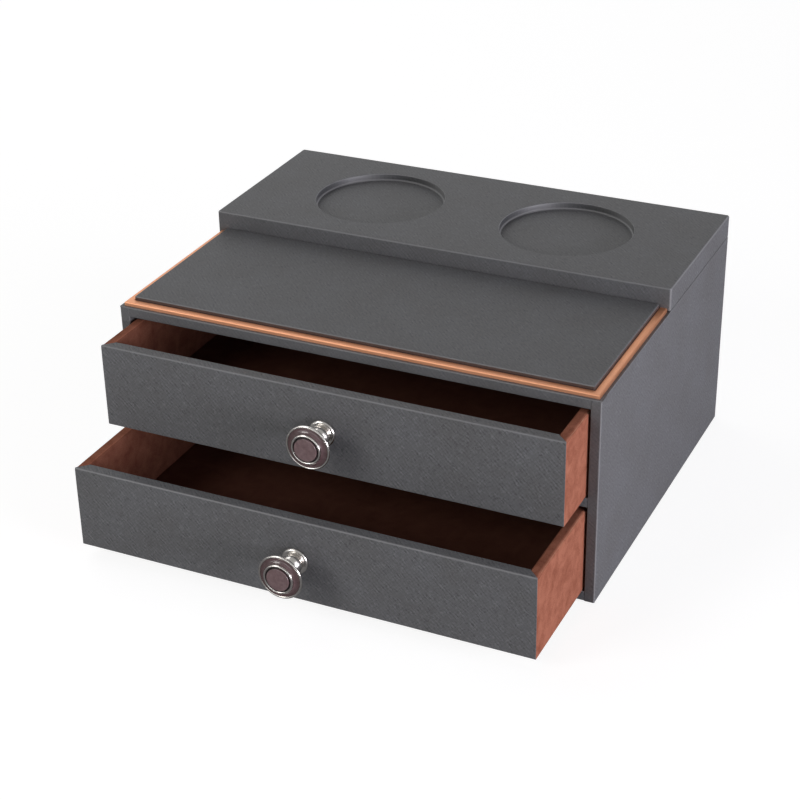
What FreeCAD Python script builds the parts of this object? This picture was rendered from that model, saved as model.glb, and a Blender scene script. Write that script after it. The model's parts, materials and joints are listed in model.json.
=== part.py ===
"""A leatherette chest with two drawers, a copper-edged top panel and a raised rear block.

Millimetres, +Z up. The origin is on the surface that the chest stands on, under the middle of
the carcass. The drawers open towards -Y, and stand part open as they are stored.
"""
import FreeCAD, Part
import math
import os

V = FreeCAD.Vector

# ---- Driving dimensions -----------------------------------------------------------------------

# Sheet goods
BOARD = 5.8                 # carcass board
WRAP = 0.6                  # grey leatherette
SUEDE = 0.5                 # brown drawer covering
BAY_LINING = 0.6            # brown sheet that the drawers slide on
TURN_IN = 15.0              # how far the leatherette is turned in past an edge
DADO = 2.0                  # how deep a board is let into the one it meets

# Carcass
WIDTH = 340.0
DEPTH = 267.0
FELT_STAND = 1.0            # the felt's height below the leatherette of the underside
FELT_MARGIN = 1.0           # gap between the felt and the turned-in leatherette around it
EDGE_ROUND = 1.0            # upright outer edges
SEAM_ROUND = 0.5            # top edges, under the seam with the rear block

# Drawers
DRAWER_HEIGHT = 59.0
DRAWER_FRONT_BOARD = 6.7
DRAWER_BOARD = 6.1
DRAWER_FLOOR = 3.0
DRAWER_FLOOR_LIFT = 2.5     # from the drawer's lower edge up to its floor board
FLOOR_GROOVE = 2.0
FLOOR_PAD = 2.0
FRONT_TURN_IN = 8.0         # leatherette showing inside the drawer, under the front's top edge
FRONT_ROUND = 0.8           # drawer front's long edges
FRONT_END_ROUND = 0.4       # and its upright edges
SIDE_CLEARANCE = 1.5
RUN_CLEARANCE = 0.6         # under a drawer
TOP_CLEARANCE = 2.9         # over a drawer
BACK_CLEARANCE = 2.1
FRONT_SETBACK = 0.5         # a closed drawer's front behind the carcass's front
UPPER_OPEN = 38.0           # stored pose: front of the drawer ahead of the carcass
LOWER_OPEN = 81.0

# Knob, a turned metal head on a ball-shaped neck
KNOB_HEAD_RADIUS = 15.3
KNOB_RIM_REACH = 21.6       # from the drawer's front to the rim of the head
KNOB_RIM_EDGE = 1.1         # bright edge around the ring inlay
KNOB_CROWN_RADIUS = 10.3    # raised ring inside the ring inlay
KNOB_CROWN_WALL = 1.5
KNOB_CROWN_RISE = 2.7
KNOB_HEAD_THICKNESS = 2.4
KNOB_HEAD_HOLLOW = 1.3      # how far the back of the head curves in from a straight cone
KNOB_NECK_RADIUS = 3.8
KNOB_NECK_REACH = 12.0
KNOB_BALL_RADIUS = 6.4
KNOB_BALL_BULGE = 1.3       # how far the ball swells out from a straight cone
KNOB_ROSE_RADIUS = 9.3
KNOB_ROSE_THICKNESS = 2.6
INLAY_SEAT = 1.2            # depth of both inlays' seats
RING_INLAY_RISE = 0.9       # ring inlay's inner edge above its outer edge
RING_INLAY_HOLLOW = 0.7     # how far its face sinks between them
DISC_GROOVE = 1.0           # shadow gap around the disc inlay
DISC_RISE = 0.4             # disc inlay's face above the crown

# Front part of the top: metal trim around a covered panel
TRIM_WIDTH = 4.8
TRIM_HEIGHT = 2.7
TRIM_INSET = 2.3            # the top's covering shows outside the trim
TRIM_OUTER_ROUND = 1.0
TRIM_INNER_ROUND = 0.3
PANEL_GAP = 0.3             # between the trim and the panel
PANEL_BACK_GAP = 0.5        # between the panel and the rear block
PANEL_BOARD = 4.8
PANEL_ROUND = 1.0

# Raised rear block with its two round recesses
BLOCK_FRONT = 133.0         # behind the carcass's front
BLOCK_HEIGHT = 17.0
BLOCK_ROUND = 1.4
BLOCK_TOP_ROUND = 0.9
BLOCK_FOOT_ROUND = 1.2      # lower edges, which show the seam under the block as a groove
RECESS_RADIUS = 47.0
RECESS_DEPTH = 5.0
RECESS_LINING = 0.6
RECESS_END_DISTANCE = 98.0  # from a recess's centre to the block's end beside it
RECESS_RIM_ROUND = 0.4

# Fasteners
BRAD_RADIUS = 0.6
BRAD_HEAD_RADIUS = 1.0
BRAD_HEAD = 0.5
BRAD_LENGTH = 18.0
BRAD_END_DISTANCE = 25.0
PIN_EDGE_DISTANCE = 14.0
BLOCK_SCREW_RADIUS = 1.75
BLOCK_SCREW_HEAD_RADIUS = 3.5
BLOCK_SCREW_HEAD = 1.9
BLOCK_SCREW_LENGTH = 15.5
BLOCK_SCREW_TIP = 2.5
BLOCK_SCREW_INSET_X = 50.0
BLOCK_SCREW_INSET_Y = 30.0
KNOB_SCREW_RADIUS = 2.0
KNOB_SCREW_BITE = 7.5
KNOB_SCREW_HEAD_RADIUS = 4.0
KNOB_SCREW_HEAD = 2.2
KNOB_SCREW_SLOT = 1.0
FASTENER_CLEARANCE = 0.05

# ---- Levels and planes worked out from them ---------------------------------------------------

EDGE = WRAP + BOARD + WRAP                       # a covered board's edge
BAY_HEIGHT = RUN_CLEARANCE + DRAWER_HEIGHT + TOP_CLEARANCE
BASE_Z = FELT_STAND
LOWER_BAY_Z = BASE_Z + EDGE
SHELF_Z = LOWER_BAY_Z + BAY_HEIGHT
UPPER_BAY_Z = SHELF_Z + EDGE
TOP_EDGE_Z = UPPER_BAY_Z + BAY_HEIGHT
CARCASS_TOP = TOP_EDGE_Z + EDGE
BLOCK_TOP = CARCASS_TOP + BLOCK_HEIGHT

HALF_WIDTH = WIDTH / 2
FRONT = -DEPTH / 2
BACK = DEPTH / 2
CORE_HALF = HALF_WIDTH - WRAP                    # side boards' outer faces
BOARD_INNER_HALF = CORE_HALF - BOARD             # side boards' inner faces
CLEAR_HALF = HALF_WIDTH - EDGE                   # drawer opening, between the turned-in edges
CORE_FRONT = FRONT + WRAP
CORE_BACK = BACK - WRAP
INNER_BACK = CORE_BACK - BOARD                   # back board's inner face

DRAWER_HALF = CLEAR_HALF - SIDE_CLEARANCE
DRAWER_LENGTH = INNER_BACK - BACK_CLEARANCE - (FRONT + FRONT_SETBACK)

BLOCK_FRONT_Y = FRONT + BLOCK_FRONT
RECESS_Y = (BLOCK_FRONT_Y + BACK) / 2

os.makedirs("parts", exist_ok=True)


# ---- Helpers ----------------------------------------------------------------------------------

def save(node, shape):
    """Write one sub-part as one STEP file."""
    if not shape.isValid():
        raise ValueError(node + " is not a valid solid")
    shape.exportStep("parts/" + node + ".step")


def block(x0, x1, y0, y1, z0, z1):
    """A box between two corners."""
    return Part.makeBox(x1 - x0, y1 - y0, z1 - z0, V(x0, y0, z0))


def across(half, y0, y1, z0, z1):
    """A box centred on X = 0."""
    return block(-half, half, y0, y1, z0, z1)


def beside(side, inner, outer, y0, y1, z0, z1):
    """A box between two distances from X = 0, on the left (-1) or the right (1)."""
    return block(min(side * inner, side * outer), max(side * inner, side * outer), y0, y1, z0, z1)


def join(*shapes):
    """Fuse shapes and merge the faces that lie in one plane."""
    return shapes[0].multiFuse(list(shapes[1:])).removeSplitter()


def round_edges(shape, radius, wanted):
    """Fillet each straight edge whose middle and direction satisfy wanted(middle, direction)."""
    chosen = []
    for edge in shape.Edges:
        if not isinstance(edge.Curve, Part.Line):
            continue
        start, end = edge.Vertexes[0].Point, edge.Vertexes[-1].Point
        if wanted((start + end) * 0.5, (end - start).normalize()):
            chosen.append(edge)
    return shape.makeFillet(radius, chosen)


def near(value, target):
    return abs(value - target) < 1e-4


def brad(tip_direction, head):
    """A headed brad whose head's face is at the point head, pointing along tip_direction."""
    shank = Part.makeCylinder(BRAD_RADIUS, BRAD_LENGTH, head, tip_direction)
    cap = Part.makeCylinder(BRAD_HEAD_RADIUS, BRAD_HEAD, head, tip_direction)
    return join(shank, cap)


def brad_hole(tip_direction, head):
    """The space that a brad takes in the boards."""
    shank = Part.makeCylinder(BRAD_RADIUS + FASTENER_CLEARANCE, BRAD_LENGTH + FASTENER_CLEARANCE,
                              head, tip_direction)
    cap = Part.makeCylinder(BRAD_HEAD_RADIUS + FASTENER_CLEARANCE, BRAD_HEAD + FASTENER_CLEARANCE,
                            head, tip_direction)
    return join(shank, cap)


# ---- Carcass boards ---------------------------------------------------------------------------

def level_board(edge_z):
    """A level board whose covered edge starts at edge_z, let into both side boards."""
    return across(BOARD_INNER_HALF + DADO, CORE_FRONT, INNER_BACK,
                  edge_z + WRAP, edge_z + WRAP + BOARD)


LEVEL_EDGES = {"bottom_board": BASE_Z, "middle_shelf": SHELF_Z, "top_board": TOP_EDGE_Z}
level_boards = {node: level_board(edge_z) for node, edge_z in LEVEL_EDGES.items()}
back_board = across(BOARD_INNER_HALF + DADO, INNER_BACK, CORE_BACK,
                    BASE_Z + WRAP, CARCASS_TOP - WRAP)

brad_rows = (FRONT + BRAD_END_DISTANCE, 0.0, INNER_BACK - BRAD_END_DISTANCE)
brads = []
brad_holes = []
for side in (-1, 1):
    for edge_z in LEVEL_EDGES.values():
        for row_y in brad_rows:
            place = V(side * CORE_HALF, row_y, edge_z + EDGE / 2)
            brads.append(brad(V(-side, 0, 0), place))
            brad_holes.append(brad_hole(V(-side, 0, 0), place))
save("carcass_brads", Part.makeCompound(brads))
brad_space = Part.makeCompound(brad_holes)

# Screws come up through the top board into the rear block
screw_places = [V(x, y, TOP_EDGE_Z + WRAP)
                for x in (-HALF_WIDTH + BLOCK_SCREW_INSET_X, HALF_WIDTH - BLOCK_SCREW_INSET_X)
                for y in (BLOCK_FRONT_Y + BLOCK_SCREW_INSET_Y, BACK - BLOCK_SCREW_INSET_Y)]


def block_screw(place, spare):
    """A countersunk wood screw pointing up from place, grown all round by spare."""
    straight = BLOCK_SCREW_LENGTH - BLOCK_SCREW_TIP
    head = Part.makeCone(BLOCK_SCREW_HEAD_RADIUS + spare, BLOCK_SCREW_RADIUS + spare,
                         BLOCK_SCREW_HEAD, place)
    shank = Part.makeCylinder(BLOCK_SCREW_RADIUS + spare, straight, place)
    tip = Part.makeCone(BLOCK_SCREW_RADIUS + spare, BLOCK_SCREW_RADIUS / 4 + spare,
                        BLOCK_SCREW_TIP + spare, place + V(0, 0, straight))
    return join(head, shank, tip)


save("block_screws", Part.makeCompound([block_screw(place, 0.0) for place in screw_places]))
screw_space = Part.makeCompound([block_screw(place, FASTENER_CLEARANCE) for place in screw_places])

for node, board in level_boards.items():
    save(node, board.cut(brad_space).cut(screw_space))
save("back_board", back_board)

for node, side in (("left_side_board", -1), ("right_side_board", 1)):
    blank = beside(side, BOARD_INNER_HALF, CORE_HALF, CORE_FRONT, CORE_BACK,
                   BASE_Z + WRAP, CARCASS_TOP - WRAP)
    save(node, blank.cut(Part.makeCompound(list(level_boards.values()) + [back_board]))
         .cut(brad_space))

# ---- Carcass covering -------------------------------------------------------------------------

# One sheet goes round the left, back and right, over the side boards' front edges and under
wrap_pieces = [across(HALF_WIDTH, CORE_BACK, BACK, BASE_Z, CARCASS_TOP - WRAP),
               across(HALF_WIDTH - TURN_IN, CORE_BACK - TURN_IN, CORE_BACK, BASE_Z, BASE_Z + WRAP)]
for side in (-1, 1):
    wrap_pieces.append(beside(side, CORE_HALF, HALF_WIDTH, FRONT, BACK, BASE_Z, CARCASS_TOP - WRAP))
    wrap_pieces.append(beside(side, CLEAR_HALF, HALF_WIDTH, FRONT, CORE_FRONT,
                              BASE_Z, CARCASS_TOP - WRAP))
    wrap_pieces.append(beside(side, HALF_WIDTH - TURN_IN, HALF_WIDTH, CORE_FRONT, CORE_BACK,
                              BASE_Z, BASE_Z + WRAP))
    for bay_z in (LOWER_BAY_Z, UPPER_BAY_Z):
        wrap_pieces.append(beside(side, CLEAR_HALF, BOARD_INNER_HALF, FRONT, FRONT + TURN_IN,
                                  bay_z, bay_z + BAY_HEIGHT))
carcass_wrap = join(*wrap_pieces)
carcass_wrap = round_edges(carcass_wrap, EDGE_ROUND, lambda middle, along:
                           abs(along.z) > 0.9 and near(abs(middle.x), HALF_WIDTH))
save("carcass_wrap", carcass_wrap)


def edge_strip(edge_z, upper_turn_in, lower_half):
    """A strip folded over a level board's front edge and turned in above and below it."""
    face = across(CLEAR_HALF, FRONT, CORE_FRONT, edge_z, edge_z + EDGE)
    above = across(BOARD_INNER_HALF, CORE_FRONT, FRONT + upper_turn_in,
                   edge_z + WRAP + BOARD, edge_z + EDGE)
    below = across(lower_half, CORE_FRONT, FRONT + TURN_IN, edge_z, edge_z + WRAP)
    return join(face, above, below)


save("shelf_edge_wrap", edge_strip(SHELF_Z, TURN_IN, BOARD_INNER_HALF))
save("bottom_edge_wrap", edge_strip(BASE_Z, TURN_IN, HALF_WIDTH - TURN_IN))

# The top's sheet is folded down over the front edge and turned in under it
top_wrap = join(across(HALF_WIDTH, FRONT, BACK, CARCASS_TOP - WRAP, CARCASS_TOP),
                across(CLEAR_HALF, FRONT, CORE_FRONT, TOP_EDGE_Z, CARCASS_TOP - WRAP),
                across(BOARD_INNER_HALF, CORE_FRONT, FRONT + TURN_IN,
                       TOP_EDGE_Z, TOP_EDGE_Z + WRAP))
top_wrap = round_edges(top_wrap, SEAM_ROUND, lambda middle, along:
                       near(middle.z, CARCASS_TOP) and abs(along.z) < 0.1)
save("top_wrap", top_wrap.cut(screw_space))

for node, bay_z in (("lower_bay_lining", LOWER_BAY_Z), ("upper_bay_lining", UPPER_BAY_Z)):
    save(node, across(BOARD_INNER_HALF, FRONT + TURN_IN, INNER_BACK,
                      bay_z - WRAP, bay_z - WRAP + BAY_LINING))

felt_edge = TURN_IN + FELT_MARGIN
save("base_felt", across(HALF_WIDTH - felt_edge, FRONT + felt_edge, BACK - felt_edge,
                         0, FELT_STAND + WRAP))

# ---- Trim and panel on the front part of the top ----------------------------------------------

TRIM_OUT = HALF_WIDTH - TRIM_INSET
TRIM_IN = TRIM_OUT - TRIM_WIDTH
TRIM_FRONT = FRONT + TRIM_INSET
TRIM_BACK = TRIM_FRONT + TRIM_WIDTH
TRIM_TOP = CARCASS_TOP + TRIM_HEIGHT


def prism(points, z0, z1):
    """An upright prism on a flat outline."""
    outline = Part.makePolygon([V(x, y, z0) for x, y in points + points[:1]])
    return Part.Face(outline).extrude(V(0, 0, z1 - z0))


def trim_bar(bar, outer_edge, inner_edge):
    """Round a trim bar's two long top edges."""
    bar = round_edges(bar, TRIM_OUTER_ROUND, lambda middle, along:
                      near(middle.z, TRIM_TOP) and outer_edge(middle))
    return round_edges(bar, TRIM_INNER_ROUND, lambda middle, along:
                       near(middle.z, TRIM_TOP) and inner_edge(middle))


front_bar = trim_bar(across(TRIM_OUT, TRIM_FRONT, TRIM_BACK, CARCASS_TOP, TRIM_TOP),
                     lambda middle: near(middle.y, TRIM_FRONT),
                     lambda middle: near(middle.y, TRIM_BACK))
front_mitre = prism([(-TRIM_OUT, TRIM_FRONT), (TRIM_OUT, TRIM_FRONT),
                     (TRIM_IN, TRIM_BACK), (-TRIM_IN, TRIM_BACK)], CARCASS_TOP, TRIM_TOP)
save("front_trim", front_bar.common(front_mitre))

for node, side in (("left_trim", -1), ("right_trim", 1)):
    bar = trim_bar(beside(side, TRIM_IN, TRIM_OUT, TRIM_FRONT, BLOCK_FRONT_Y, CARCASS_TOP, TRIM_TOP),
                   lambda middle: near(abs(middle.x), TRIM_OUT),
                   lambda middle: near(abs(middle.x), TRIM_IN))
    save(node, bar.common(prism([(side * TRIM_OUT, TRIM_FRONT), (side * TRIM_OUT, BLOCK_FRONT_Y),
                                 (side * TRIM_IN, BLOCK_FRONT_Y), (side * TRIM_IN, TRIM_BACK)],
                                CARCASS_TOP, TRIM_TOP)))

PANEL_HALF = TRIM_IN - PANEL_GAP
PANEL_FRONT = TRIM_BACK + PANEL_GAP
PANEL_BACK = BLOCK_FRONT_Y - PANEL_BACK_GAP
PANEL_TOP = CARCASS_TOP + PANEL_BOARD + WRAP

panel_board = across(PANEL_HALF - WRAP, PANEL_FRONT + WRAP, PANEL_BACK - WRAP,
                     CARCASS_TOP, PANEL_TOP - WRAP)
save("top_panel_board", panel_board)
panel_cover = across(PANEL_HALF, PANEL_FRONT, PANEL_BACK, CARCASS_TOP, PANEL_TOP)
panel_cover = round_edges(panel_cover, PANEL_ROUND, lambda middle, along:
                          near(middle.z, PANEL_TOP) or abs(along.z) > 0.9)
save("top_panel_wrap", panel_cover.cut(panel_board))

# ---- Rear block -------------------------------------------------------------------------------

RECESS_FLOOR = BLOCK_TOP - RECESS_DEPTH
BASE_BOARD_TOP = RECESS_FLOOR - RECESS_LINING
recess_centres = {"left": V(-HALF_WIDTH + RECESS_END_DISTANCE, RECESS_Y, 0),
                  "right": V(HALF_WIDTH - RECESS_END_DISTANCE, RECESS_Y, 0)}


def round_upright(shape, radius):
    """Round the block's four upright corners."""
    return round_edges(shape, radius, lambda middle, along: abs(along.z) > 0.9)


def recess_holes(radius, z0, z1):
    """Two upright cylinders at the recesses' centres."""
    return Part.makeCompound([Part.makeCylinder(radius, z1 - z0, centre + V(0, 0, z0))
                              for centre in recess_centres.values()])


base_blank = round_upright(across(CORE_HALF, BLOCK_FRONT_Y + WRAP, CORE_BACK,
                                  CARCASS_TOP + WRAP, BASE_BOARD_TOP), BLOCK_ROUND - WRAP)
save("block_base_board", base_blank.cut(screw_space))

top_blank = round_upright(across(CORE_HALF, BLOCK_FRONT_Y + WRAP, CORE_BACK,
                                 BASE_BOARD_TOP, BLOCK_TOP - WRAP), BLOCK_ROUND - WRAP)
lined_radius = RECESS_RADIUS + RECESS_LINING
save("block_top_board", top_blank.cut(recess_holes(lined_radius, BASE_BOARD_TOP, BLOCK_TOP)))

cover = round_upright(across(HALF_WIDTH, BLOCK_FRONT_Y, BACK, CARCASS_TOP, BLOCK_TOP), BLOCK_ROUND)
top_ring = [edge for edge in cover.Edges if near(edge.BoundBox.ZMin, BLOCK_TOP)]
cover = cover.makeFillet(BLOCK_TOP_ROUND, top_ring)
bottom_ring = [edge for edge in cover.Edges if near(edge.BoundBox.ZMax, CARCASS_TOP)]
cover = cover.makeFillet(BLOCK_FOOT_ROUND, bottom_ring)
underside = across(HALF_WIDTH - TURN_IN, BLOCK_FRONT_Y + TURN_IN, BACK - TURN_IN,
                   CARCASS_TOP, CARCASS_TOP + WRAP)
cover = cover.cut(base_blank).cut(top_blank).cut(underside)
cover = cover.cut(recess_holes(RECESS_RADIUS, BLOCK_TOP - 2 * WRAP, BLOCK_TOP))
rims = [edge for edge in cover.Edges
        if isinstance(edge.Curve, Part.Circle) and near(edge.Curve.Radius, RECESS_RADIUS)
        and near(edge.BoundBox.ZMin, BLOCK_TOP)]
save("block_wrap", cover.makeFillet(RECESS_RIM_ROUND, rims))

for side, centre in recess_centres.items():
    floor = Part.makeCylinder(lined_radius, RECESS_LINING, centre + V(0, 0, BASE_BOARD_TOP))
    save(side + "_recess_floor", floor)
    wall_height = BLOCK_TOP - WRAP - RECESS_FLOOR
    outer = Part.makeCylinder(lined_radius, wall_height, centre + V(0, 0, RECESS_FLOOR))
    inner = Part.makeCylinder(RECESS_RADIUS, wall_height, centre + V(0, 0, RECESS_FLOOR))
    save(side + "_recess_wall", outer.cut(inner))


# ---- Knob -------------------------------------------------------------------------------------

def turned(outline, front_y, centre_z):
    """Turn a closed outline of (radius, reach) edges about the knob's axis, which points to -Y."""
    solid = Part.Face(Part.Wire(outline)).revolve(V(0, 0, 0), V(0, -1, 0), 360)
    solid.translate(V(0, front_y, centre_z))
    return solid


def at(radius, reach):
    return V(radius, -reach, 0)


def line(start, end):
    return Part.LineSegment(at(*start), at(*end)).toShape()


def arc(start, middle, end):
    return Part.Arc(at(*start), at(*middle), at(*end)).toShape()


def bowed(start, end, rise):
    """An arc whose middle stands off the straight line by rise, to the right of the way along it."""
    run = math.dist(start, end)
    middle = ((start[0] + end[0]) / 2 + rise * (end[1] - start[1]) / run,
              (start[1] + end[1]) / 2 - rise * (end[0] - start[0]) / run)
    return arc(start, middle, end)


def chain(*points):
    """Straight edges from point to point."""
    return [line(start, end) for start, end in zip(points, points[1:])]


CROWN_TOP = KNOB_RIM_REACH + KNOB_CROWN_RISE
CROWN_INNER = KNOB_CROWN_RADIUS - KNOB_CROWN_WALL
RING_OUTER = KNOB_HEAD_RADIUS - KNOB_RIM_EDGE
RING_FLOOR = KNOB_RIM_REACH - INLAY_SEAT
DISC_TOP = CROWN_TOP + DISC_RISE
DISC_FLOOR = CROWN_TOP - INLAY_SEAT
HEAD_BACK = KNOB_RIM_REACH - KNOB_HEAD_THICKNESS
knob_hole_radius = KNOB_SCREW_RADIUS + FASTENER_CLEARANCE


def knob_body(front_y, centre_z):
    """Rose, ball, neck and head as one turned piece, with a threaded blind hole behind."""
    hole_end = KNOB_SCREW_BITE + FASTENER_CLEARANCE
    rose_edge = KNOB_ROSE_THICKNESS / 2
    ball_start = (KNOB_BALL_RADIUS, KNOB_ROSE_THICKNESS)
    neck = (KNOB_NECK_RADIUS, KNOB_NECK_REACH)
    head_back = (KNOB_HEAD_RADIUS - KNOB_RIM_EDGE, HEAD_BACK)
    edges = chain((0, hole_end), (knob_hole_radius, hole_end), (knob_hole_radius, 0),
                  (KNOB_ROSE_RADIUS - rose_edge, 0))
    edges.append(arc((KNOB_ROSE_RADIUS - rose_edge, 0), (KNOB_ROSE_RADIUS, rose_edge),
                     (KNOB_ROSE_RADIUS - rose_edge, KNOB_ROSE_THICKNESS)))
    edges += chain((KNOB_ROSE_RADIUS - rose_edge, KNOB_ROSE_THICKNESS), ball_start)
    edges.append(bowed(ball_start, neck, KNOB_BALL_BULGE))
    edges.append(bowed(neck, head_back, -KNOB_HEAD_HOLLOW))
    edges.append(arc(head_back, (KNOB_HEAD_RADIUS, (HEAD_BACK + KNOB_RIM_REACH) / 2),
                     (RING_OUTER + KNOB_RIM_EDGE / 2, KNOB_RIM_REACH)))
    edges += chain((RING_OUTER + KNOB_RIM_EDGE / 2, KNOB_RIM_REACH), (RING_OUTER, KNOB_RIM_REACH),
                   (RING_OUTER, RING_FLOOR), (KNOB_CROWN_RADIUS, RING_FLOOR),
                   (KNOB_CROWN_RADIUS, CROWN_TOP - KNOB_CROWN_WALL / 2))
    edges.append(arc((KNOB_CROWN_RADIUS, CROWN_TOP - KNOB_CROWN_WALL / 2),
                     ((KNOB_CROWN_RADIUS + CROWN_INNER) / 2, CROWN_TOP),
                     (CROWN_INNER, CROWN_TOP - KNOB_CROWN_WALL / 2)))
    edges += chain((CROWN_INNER, CROWN_TOP - KNOB_CROWN_WALL / 2), (CROWN_INNER, DISC_FLOOR),
                   (0, DISC_FLOOR), (0, hole_end))
    return turned(edges, front_y, centre_z)


def ring_inlay(front_y, centre_z):
    """A hollow-faced ring that fills the seat between the rim and the crown."""
    outer_edge = (RING_OUTER, KNOB_RIM_REACH)
    inner_edge = (KNOB_CROWN_RADIUS, KNOB_RIM_REACH + RING_INLAY_RISE)
    edges = chain(inner_edge, (KNOB_CROWN_RADIUS, RING_FLOOR), (RING_OUTER, RING_FLOOR), outer_edge)
    edges.append(bowed(outer_edge, inner_edge, -RING_INLAY_HOLLOW))
    return turned(edges, front_y, centre_z)


def disc_inlay(front_y, centre_z):
    """A flat disc inside the crown, standing above it, with a shadow gap around it."""
    radius = CROWN_INNER - DISC_GROOVE
    return Part.makeCylinder(radius, DISC_TOP - DISC_FLOOR, V(0, front_y - DISC_FLOOR, centre_z),
                             V(0, -1, 0))


def knob_screw(front_y, centre_z, front_thickness):
    """A slotted machine screw from inside the drawer, through its front into the knob."""
    seat = V(0, front_y + front_thickness, centre_z)
    shank = Part.makeCylinder(KNOB_SCREW_RADIUS, front_thickness + KNOB_SCREW_BITE, seat, V(0, -1, 0))
    head = Part.makeCylinder(KNOB_SCREW_HEAD_RADIUS, KNOB_SCREW_HEAD, seat, V(0, 1, 0))
    head = head.makeFillet(KNOB_SCREW_HEAD / 2, [edge for edge in head.Edges
                                                if near(edge.BoundBox.YMin,
                                                        seat.y + KNOB_SCREW_HEAD)])
    slot = block(-KNOB_SCREW_HEAD_RADIUS, KNOB_SCREW_HEAD_RADIUS,
                 seat.y + KNOB_SCREW_HEAD / 2, seat.y + KNOB_SCREW_HEAD,
                 centre_z - KNOB_SCREW_SLOT / 2, centre_z + KNOB_SCREW_SLOT / 2)
    return join(shank, head.cut(slot))


# ---- Drawers ----------------------------------------------------------------------------------

def save_drawer(name, open_by, bay_z):
    """One drawer with all its pieces, its front open_by ahead of the carcass's front."""
    front = FRONT - open_by
    end = front + DRAWER_LENGTH
    low = bay_z + RUN_CLEARANCE
    high = low + DRAWER_HEIGHT
    centre_z = (low + high) / 2

    board_half = DRAWER_HALF - SUEDE             # outer faces of the side boards
    inner_half = board_half - DRAWER_BOARD       # their inner faces
    room_half = inner_half - SUEDE               # the drawer's inside
    front_core = front + WRAP
    front_inner = front_core + DRAWER_FRONT_BOARD
    back_outer = end - SUEDE
    back_inner = back_outer - DRAWER_BOARD
    floor_low = low + DRAWER_FLOOR_LIFT
    floor_high = floor_low + DRAWER_FLOOR
    front_thickness = front_inner + SUEDE - front

    # Floor board, let into grooves in all four walls
    floor = across(inner_half + FLOOR_GROOVE, front_inner - FLOOR_GROOVE, back_inner + FLOOR_GROOVE,
                   floor_low, floor_high)
    save(name + "_floor_board", floor)

    # Brads: from the front into the sides' ends, and from the sides into the back's ends
    places = []
    for side in (-1, 1):
        for z in (low + PIN_EDGE_DISTANCE, high - PIN_EDGE_DISTANCE):
            places.append((V(0, 1, 0), V(side * (inner_half + board_half) / 2, front_core, z)))
            places.append((V(-side, 0, 0), V(side * board_half, (back_inner + back_outer) / 2, z)))
    save(name + "_brads", Part.makeCompound([brad(*place) for place in places]))
    brads_space = Part.makeCompound([brad_hole(*place) for place in places])

    # Bored for the knob's screw
    bore = Part.makeCylinder(knob_hole_radius, front_thickness + WRAP, V(0, front - WRAP, centre_z),
                             V(0, 1, 0))

    front_board = across(board_half, front_core, front_inner, low + WRAP, high - WRAP)
    save(name + "_front_board", front_board.cut(floor).cut(brads_space).cut(bore))
    for side_name, side in (("left", -1), ("right", 1)):
        side_board = beside(side, inner_half, board_half, front_inner, back_outer, low, high - SUEDE)
        save(name + "_" + side_name + "_side_board", side_board.cut(floor).cut(brads_space))
    back = across(inner_half, back_inner, back_outer, low, high - SUEDE)
    save(name + "_back_board", back.cut(floor).cut(brads_space))

    # Leatherette over the front, its top and lower edges, turned in behind the top. On top it is
    # cut to a mitre, from the front's outer corners to the inside corners with the sides.
    mitred_top = prism([(-DRAWER_HALF, front_core), (DRAWER_HALF, front_core),
                        (room_half, front_inner), (-room_half, front_inner)], high - WRAP, high)
    sheets = join(across(DRAWER_HALF, front, front_core, low, high), mitred_top,
                  across(board_half, front_core, front_inner, low, low + WRAP),
                  across(room_half, front_inner, front_inner + WRAP, high - FRONT_TURN_IN, high))
    outside = across(DRAWER_HALF, front, front_inner + WRAP, low, high)
    outside = round_edges(outside, FRONT_ROUND, lambda middle, along:
                          near(middle.y, front) and abs(along.x) > 0.9)
    outside = round_edges(outside, FRONT_END_ROUND, lambda middle, along:
                          near(abs(middle.x), DRAWER_HALF) and near(middle.y, front))
    wrap = sheets.common(outside)
    save(name + "_front_wrap", wrap.cut(bore))

    # Suede over both faces and the top edge of the side boards, over the front board's ends and
    # over its top edge as far as the mitre
    for side_name, side in (("left", -1), ("right", 1)):
        outside = beside(side, board_half, DRAWER_HALF, front_core, end, low, high)
        top = beside(side, inner_half, board_half, front_inner, end, high - SUEDE, high)
        inside = beside(side, room_half, inner_half, front_inner, back_inner, floor_high, high)
        corner = beside(side, room_half, DRAWER_HALF, front_core, front_inner, high - WRAP, high)
        save(name + "_" + side_name + "_suede", join(outside, top, inside, corner).cut(mitred_top))

    # Suede over the back board, reaching across the side boards' ends
    save(name + "_back_suede",
         join(across(board_half, back_outer, end, low, high - SUEDE),
              across(inner_half, back_inner, end, high - SUEDE, high),
              across(room_half, back_inner - SUEDE, back_inner, floor_high, high)))
    save(name + "_front_suede", across(room_half, front_inner, front_inner + SUEDE,
                                       floor_high, high - FRONT_TURN_IN).cut(bore))
    save(name + "_floor_pad", across(room_half, front_inner + SUEDE, back_inner - SUEDE,
                                     floor_high, floor_high + FLOOR_PAD))

    save(name + "_knob", knob_body(front, centre_z))
    save(name + "_knob_ring_inlay", ring_inlay(front, centre_z))
    save(name + "_knob_disc_inlay", disc_inlay(front, centre_z))
    save(name + "_knob_screw", knob_screw(front, centre_z, front_thickness))


save_drawer("upper_drawer", UPPER_OPEN, UPPER_BAY_Z)
save_drawer("lower_drawer", LOWER_OPEN, LOWER_BAY_Z)
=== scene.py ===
"""The desk chest's looks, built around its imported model, in the order that it is put together."""

import json
import math

import bmesh
import bpy
from mathutils import Matrix, Vector, noise


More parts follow.
